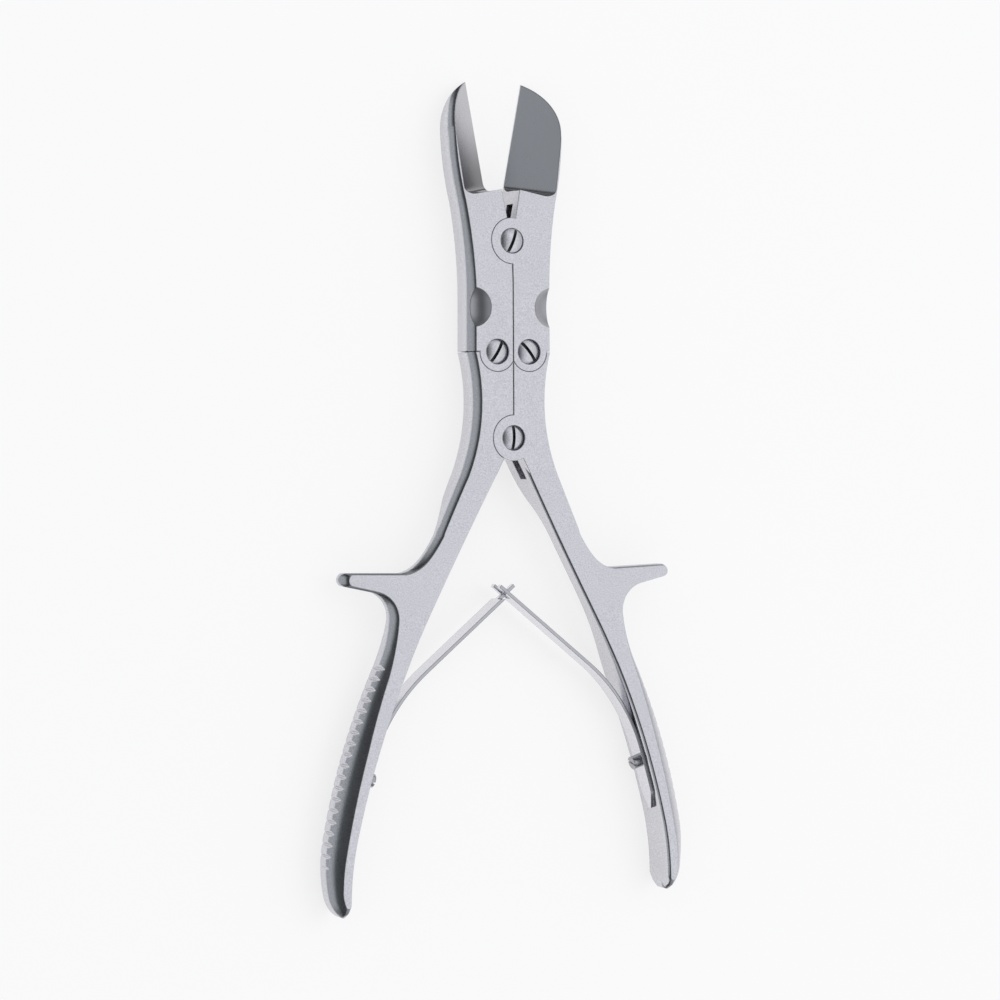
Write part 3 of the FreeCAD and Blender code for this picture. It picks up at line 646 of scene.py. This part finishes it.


# The jaws' steel carries painted shade on the left bevel and at the foot of each bevel
JAW_STEEL_AND_SHADE = steel("jaw_steel", face=0.31, side=0.22, extra=jaw_finish_and_shade)
HANDLE_STEEL = steel("handle_steel", face=0.31, side=0.22)
SPRING_STEEL = steel("spring_steel", face=0.22, side=0.16, tone=1.15, grain=1500.0,
                     extra=leaf_finish)
# Painted shade: the spring screws are darkened for the shade between the handles
SHADED_SCREW_STEEL = steel("spring_screw_shaded_steel", face=0.20, side=0.16, tone=0.62)
STEELS = {"jaw": JAW_STEEL_AND_SHADE, "handle": HANDLE_STEEL, "leaf": SPRING_STEEL}
for name, node in nodes.items():
    matching = [material for word, material in STEELS.items() if word in name]
    node.data.materials.clear()
    node.data.materials.append(matching[0] if matching else SHADED_SCREW_STEEL)
print("steels:", [m.name for m in bpy.data.materials])

# %% [markdown]
# Round sides
#
# The solids build the round sides of the handles and jaws from straight bands, which keeps them
# light. On screen a band would show as a flat strip. The cure is the one that every game model
# uses: keep the shape and bend the normals, the directions that the light is worked out from.
# Down from the rim of the face, the direction swings from nearly up to level, as it does on an
# edge that a polishing wheel has rounded.
#
# The pieces are our own copies of the solids, because the solids themselves stay as they are.

# %% Copy a solid into a clean mesh
SHARP_ANGLE = math.radians(30.0)
WELD_DISTANCE = 0.001 * MM


def own_copy(node_name, label, body=None):
    """A piece of our own with the node's shape, which stands for the node."""
    mesh = nodes[node_name].data.copy()
    piece = bpy.data.objects.new(label, mesh)
    bpy.context.scene.collection.objects.link(piece)
    if body:
        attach(piece, body)
    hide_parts(node_name)
    return piece


def open_mesh(piece):
    """The piece's mesh for editing, with its corners welded."""
    work = bmesh.new()
    work.from_mesh(piece.data)
    bmesh.ops.remove_doubles(work, verts=work.verts, dist=WELD_DISTANCE)
    return work


def close_mesh(work, piece):
    """Writes the edited mesh back, smooth but for its sharp edges."""
    fresh = bpy.data.meshes.new(piece.name)
    work.to_mesh(fresh)
    work.free()
    if "custom_normal" in fresh.attributes:
        fresh.attributes.remove(fresh.attributes["custom_normal"])
    for material in piece.data.materials:
        fresh.materials.append(material)
    fresh.shade_smooth()
    fresh.set_sharp_from_angle(angle=SHARP_ANGLE)
    piece.data = fresh
    return fresh


def cut_across(work, faces, spot, direction):
    edges = {e for f in faces for e in f.edges}
    verts = {v for f in faces for v in f.verts}
    bmesh.ops.bisect_plane(work, geom=[*verts, *edges, *faces],
                           plane_co=spot, plane_no=direction)


print(f"corners within {WELD_DISTANCE / MM:.3f} mm are welded")

# %% [markdown]
# On the real handle the shank runs straight on to the guard and turns into it with a tight
# curve. The solid starts that curve early, so its outer edge is filled out a little there. The
# amount rises at once and fades slowly, which keeps both ends free of a corner.

# %% Fill out the root of the guard
FILLET_START = Vector((25.1, -12.3)) * MM
FILLET_RUN = 28.0 * MM
FILLET_RISE = 0.29
# Only points this far out from the middle, and this far down, belong to the guard's root
ROOT_OUT, ROOT_DOWN = 22 * MM, -12 * MM
STEEPEST_SIDE, LEAST_OUTWARD = 0.9, -0.1


def outward(face):
    """Positive where a face looks away from the middle of the tool, and negative inside."""
    return face.normal.x * (1 if face.calc_center_median().x > 0 else -1)


def fill_guard_root(work):
    moves = {}
    for vert in work.verts:
        run = (abs(vert.co.x) - FILLET_START.x) + (FILLET_START.y - vert.co.y)
        at_root = abs(vert.co.x) > ROOT_OUT and vert.co.y < ROOT_DOWN
        sides = [f for f in vert.link_faces
                 if abs(f.normal.z) < STEEPEST_SIDE and outward(f) > LEAST_OUTWARD]
        if 0 < run < FILLET_RUN and at_root and sides:
            way = sum((f.normal for f in sides), Vector())
            way.z = 0
            rise = FILLET_RISE * run * (1 - run / FILLET_RUN) ** 2
            moves[vert] = way.normalized() * rise
    for vert, move in moves.items():
        vert.co += move
    work.normal_update()


print(f"root of the guard: {FILLET_RUN / MM:.0f} mm long")

# %% [markdown]
# Which faces belong to a side? Below and above there are bands that slope, and between them there
# is an upright wall. On the inner sides of the handles only the upper part is turned, after a few
# cuts that give it corners.

# %% Limits of the sides
# Depth below the rim in mm, and the angle of the surface from straight up in degrees
OUTER_SWEEP = [(0.0, 29), (1.5, 42), (6.4, 59), (9.6, 84), (14.4, 106)]
GRIP_SWEEP = [(0.0, 29), (1.7, 35), (3.0, 42), (6.0, 59), (10.0, 84), (14.4, 106)]
INNER_SWEEP = [(0.0, 25), (1.3, 38), (2.1, 60), (3.0, 84)]
# Heights in mm where the walls are cut, which gives them corners to turn
OUTER_CUT = {"handle": 11.4, "jaw": 12.6}
INNER_CUTS = (12.5, 11.8, 11.1, 10.4)
# The wall lies between these heights in mm, and the bands below and above it
BAND_BOTTOM = 4.4
BAND_TOP = {"handle": 10.0, "jaw": 9.6}
SLACK = 0.05
# The inner sides between these two places along the tool are turned
INNER_TOP = 9 * MM
INNER_END = -131 * MM
BLADE_FROM = 98 * MM
# How much a surface looks up or down: a wall less than the first, a flat face more than the
# second, and a band less than the third
WALL_SLOPE = 0.04
FACE_SLOPE = 0.985
BAND_SLOPE = {"handle": 0.90, "jaw": 0.55}
# How much a surface looks away from the middle of the tool
FACES_IN, FACES_OUT, NOT_INNER = -0.3, 0.1, -0.9
print("an outer side turns from", OUTER_SWEEP[0][1], "to", OUTER_SWEEP[-1][1], "degrees")

# %% Tell the sides apart


def in_hollow(spot):
    nearest = min((spot - middle).length for middle in HOLLOW_MIDDLES)
    return nearest < HOLLOW_RADIUS + HOLLOW_SURE


def is_wall(face):
    return abs(face.normal.z) < WALL_SLOPE


def wall_sweep(face, kind, low, high):
    """The sweep of an upright face."""
    along = face.calc_center_median().y
    if kind == "handle" and outward(face) < FACES_IN and along > INNER_END:
        upper = low > INNER_CUTS[-1] - SLACK and along < INNER_TOP
        return INNER_SWEEP if upper else None
    band = abs(high - BAND_TOP[kind]) < SLACK and low > BAND_BOTTOM - SLACK
    blade = kind == "jaw" and along > BLADE_FROM and outward(face) > FACES_OUT
    return OUTER_SWEEP if band or blade else None


def side_sweep(face, kind):
    """The sweep that a face belongs to, or None where its normals stay."""
    if in_hollow(face.calc_center_median()):
        return None
    heights = [v.co.z / MM for v in face.verts]
    low, high = min(heights), max(heights)
    if is_wall(face):
        return wall_sweep(face, kind, low, high)
    in_band = high < BAND_BOTTOM + SLACK or low > BAND_TOP[kind] - SLACK
    blade = kind == "jaw" and face.calc_center_median().y > BLADE_FROM
    slopes = abs(face.normal.z) < BAND_SLOPE[kind]
    return OUTER_SWEEP if (in_band or blade) and slopes else None


def cut_sides(work, kind):
    """Cuts the bands, and on a handle the inner wall, to give them corners."""
    bands = [f for f in work.faces if side_sweep(f, kind) and outward(f) > NOT_INNER
             and WALL_SLOPE < f.normal.z]
    cut_across(work, bands, (0, 0, OUTER_CUT[kind] * MM), (0, 0, 1))
    if kind == "handle":
        fill_guard_root(work)
        for height in INNER_CUTS:
            wall = [f for f in work.faces if is_wall(f) and outward(f) < FACES_IN
                    and f.calc_center_median().y < INNER_TOP]
            cut_across(work, wall, (0, 0, height * MM), (0, 0, 1))
    work.verts.index_update()
    work.normal_update()


print("cuts on an inner wall:", len(INNER_CUTS))

# %% [markdown]
# How deep a point lies is measured from the nearest point of the rim, where the front face or the
# bevel of a blade ends. The depth gives the angle, and the angle gives the direction.

# %% Find the rim
# A jaw's bevel counts as its top from this slope on, and a front face from this height on
TOP_SLOPE, TOP_HEIGHT = 0.6, 11 * MM


def is_top(face, kind):
    """True for the flat front face and, on a jaw, for its bevel."""
    low = min(v.co.z for v in face.verts)
    on_blade = kind == "jaw" and face.calc_center_median().y > BLADE_FROM
    return (face.normal.z > FACE_SLOPE and low > TOP_HEIGHT) or \
        (on_blade and face.normal.z > TOP_SLOPE)


def rim_tree(work, kind):
    rim = {v for f in work.faces if is_top(f, kind) for v in f.verts}
    tree = KDTree(len(rim))
    for i, vert in enumerate(rim):
        tree.insert((vert.co.x, vert.co.y, 0), i)
    tree.balance()
    return tree, [v.co.z for v in rim], {v.index for v in rim}


print(f"a front face lies above {TOP_HEIGHT / MM:.0f} mm")

# %% Angle at a depth
# Where along Y a handle's outer side starts to take the grip's own sweep, and has it in full
GRIP_FROM, GRIP_FULL = -35 * MM, -60 * MM


def sweep_angle(depth, sweep):
    for (low, first), (high, second) in zip(sweep, sweep[1:]):
        if depth <= high:
            return first + (second - first) * (depth - low) / (high - low)
    return sweep[-1][1]


def side_angle(depth, along, sweep, kind):
    """The angle from straight up. On a handle's outer side it goes over to the grip's own."""
    angle = sweep_angle(depth, sweep)
    if sweep is OUTER_SWEEP and kind == "handle":
        grip = min(max((along - GRIP_FROM) / (GRIP_FULL - GRIP_FROM), 0), 1)
        angle += grip * (sweep_angle(depth, GRIP_SWEEP) - angle)
    return angle


print("angle 5 mm below the rim:", round(sweep_angle(5.0, OUTER_SWEEP), 1), "degrees")

# %% Turn the normals
RIM_ANGLE = 28
# Walls that meet at a smaller angle than this share one direction at their corner
CORNER_BREAK = math.cos(math.radians(42.0))


def meeting_corners(mesh, plan):
    """For each point, the corners of side faces that meet there."""
    meeting = {}
    for face, sweep in zip(mesh.polygons, plan):
        if sweep:
            level = Vector((face.normal.x, face.normal.y, 0)).normalized()
            for corner, index in zip(face.loop_indices, face.vertices):
                meeting.setdefault(index, []).append((corner, level, sweep))
    return meeting


def round_sides(piece, kind):
    """Bends the normals of the sides, and returns how many corners changed."""
    work = open_mesh(piece)
    cut_sides(work, kind)
    tree, rim_heights, on_rim = rim_tree(work, kind)
    plan = [side_sweep(face, kind) for face in work.faces]
    mesh = close_mesh(work, piece)
    normals = [n.vector.copy() for n in mesh.corner_normals]
    meeting = meeting_corners(mesh, plan)
    for index, corners in meeting.items():
        place = mesh.vertices[index].co
        rim_height = rim_heights[tree.find((place.x, place.y, 0))[1]]
        depth = max(rim_height - place.z, 0) / MM
        kinds = {tuple(round(v, 2) for v in level): level for _, level, _ in corners}
        for corner, level, sweep in corners:
            mean = sum((k for k in kinds.values() if k.dot(level) > CORNER_BREAK), Vector())
            angle = RIM_ANGLE if index in on_rim else side_angle(depth, place.y, sweep, kind)
            turn = math.radians(angle)
            normals[corner] = mean.normalized() * math.sin(turn) + Vector((0, 0, math.cos(turn)))
    mesh.normals_split_custom_set(normals)
    return sum(len(corners) for corners in meeting.values())


for side in ("left", "right"):
    for kind in BAND_TOP:
        name = f"{side}_{kind}"
        piece = own_copy(name, f"{name}_round", body=name)
        print(name, "corners turned:", round_sides(piece, kind))

# %% [markdown]
# Screw heads
#
# The heads in the photograph are slightly domed, which is why one side of each is darker than
# the other. Each is a low dome, spun round the screw's axis, with the driver slot cut by a
# Boolean. The shank below stays hidden in its bore.

# %% Shape of a screw head
# For each screw: the piece it moves with, its place in mm and its slot's angle in degrees
HEADS = {
    "front_pivot_screw": ("right_jaw", (0.0, 82.6), 68.0),
    "rear_pivot_screw": ("right_handle", (0.0, 18.4), 88.0),
    "left_link_screw": ("left_jaw", (-5.8, 46.5), 58.0),
    "right_link_screw": ("right_jaw", (5.8, 46.5), -50.0),
}
# All in mm. The tail is the shank's radius and the height of its end.
HEAD_RADIUS = 3.95
HEAD_RIM = 13.22
HEAD_TOP = 14.28
HEAD_BOTTOM = 12.35
TAIL = (2.48, 0.16)
DOME_STEPS = 10


def head_profile():
    """Radius and height of points from the middle of the dome down to the end of the shank."""
    rise = HEAD_TOP - HEAD_RIM
    ball = (HEAD_RADIUS ** 2 + rise ** 2) / (2 * rise)
    points = []
    for step in range(DOME_STEPS + 1):
        radius = HEAD_RADIUS * step / DOME_STEPS
        points.append((radius, HEAD_TOP - ball + math.sqrt(ball ** 2 - radius ** 2)))
    points += [(HEAD_RADIUS, HEAD_BOTTOM), (TAIL[0], HEAD_BOTTOM), TAIL, (0.0, TAIL[1])]
    return points


def spin_profile(mesh, profile, steps):
    """Turns the profile round the Z axis into a closed skin."""
    verts, faces, rows = [], [], []
    for radius, height in profile:
        if radius == 0:
            rows.append([len(verts)] * steps)
            verts.append((0, 0, height))
            continue
        rows.append(list(range(len(verts), len(verts) + steps)))
        for i in range(steps):
            angle = math.tau * i / steps
            verts.append((radius * math.cos(angle), radius * math.sin(angle), height))
    for upper, lower in zip(rows, rows[1:]):
        for i in range(steps):
            j = (i + 1) % steps
            face = [upper[i], lower[i], lower[j], upper[j]]
            faces.append([v for k, v in enumerate(face) if v not in face[:k]])
    mesh.from_pydata(verts, [], faces)


print("points on a head's profile:", len(head_profile()))

# %% Cut the driver slot
# How far the bar that cuts the slot stands out past the head, in mm
BAR_PAST = 1
BAR_SIDES = [(0, 1, 3, 2), (4, 6, 7, 5), (0, 4, 5, 1), (2, 3, 7, 6), (0, 2, 6, 4), (1, 5, 7, 3)]


def new_object(label, mesh):
    thing = bpy.data.objects.new(label, mesh)
    bpy.context.scene.collection.objects.link(thing)
    return thing


def slot_bar():
    """The bar that cuts the driver slot, in mm."""
    long, half, top = HEAD_RADIUS + BAR_PAST, SLOT_HALF / MM, HEAD_TOP + BAR_PAST
    corners = [(x, y, z) for x in (-long, long) for y in (-half, half)
               for z in (SLOT_FLOOR, top)]
    mesh = bpy.data.meshes.new("bar")
    mesh.from_pydata(corners, [], BAR_SIDES)
    return new_object("bar", mesh)


def cut_slot(head):
    """The head's mesh with the driver slot cut out."""
    bar = slot_bar()
    cut = head.modifiers.new("slot", "BOOLEAN")
    cut.operation = "DIFFERENCE"
    cut.solver = "EXACT"
    cut.object = bar
    bpy.context.view_layer.update()
    shaped = bpy.data.meshes.new_from_object(
        head.evaluated_get(bpy.context.evaluated_depsgraph_get()))
    head.modifiers.clear()
    bpy.data.objects.remove(bar)
    return shaped


print(f"driver slots: {2 * SLOT_HALF / MM:.2f} mm wide")

# %% Domed screw heads
SPIN_STEPS = 72
HEAD_SHARP_ANGLE = math.radians(28.0)


def make_head(label, body, spot, slot_angle):
    """A head on the screw's axis, with its slot turned by an angle in degrees."""
    mesh = bpy.data.meshes.new(label)
    spin_profile(mesh, head_profile(), SPIN_STEPS)
    head = new_object(label, mesh)
    shaped = cut_slot(head)
    axis, angle = Vector((*spot, 0)) * MM, math.radians(slot_angle)
    turn = Matrix.Rotation(angle, 4, "Z")
    shaped.transform(Matrix.Translation(axis) @ Matrix.Scale(MM, 4) @ turn)
    shaped.shade_smooth()
    shaped.set_sharp_from_angle(angle=HEAD_SHARP_ANGLE)
    head.data = shaped
    shaped.materials.clear()
    shaped.materials.append(steel(f"{label}_steel", face=0.19, side=0.15, height=0.006,
                                  extra=ring_finish(axis, angle)))
    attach(head, body)
    return head


for name, (body, spot, slot_angle) in HEADS.items():
    head = make_head(f"{name}_head", body, spot, slot_angle)
    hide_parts(name)
    print(name, "faces:", len(head.data.polygons))

# %% [markdown]
# Leaf springs
#
# Each spring is fixed to one handle and pushes on the other spring where they hook together, so
# it bends as the handles close. The flat solid has only a few long faces. Cutting it across every
# two millimetres gives it enough points to bend.

# %% Leaf springs cut across
# In mm: how far from the middle the cuts reach on either side, and how far apart they are
BEND_FROM = 38.0
CUT_STEP = 2.0


def bending_leaf(side):
    leaf = own_copy(f"{side}_leaf_spring", f"{side}_leaf")
    work = open_mesh(leaf)
    for step in range(int(2 * BEND_FROM / CUT_STEP) + 1):
        across = (-BEND_FROM + step * CUT_STEP) * MM
        cut_across(work, work.faces[:], (across, 0, 0), (1, 0, 0))
    close_mesh(work, leaf)
    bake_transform(leaf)
    return leaf


for side in ("left", "right"):
    leaf = bending_leaf(side)
    print(leaf.name, "faces:", len(leaf.data.polygons))
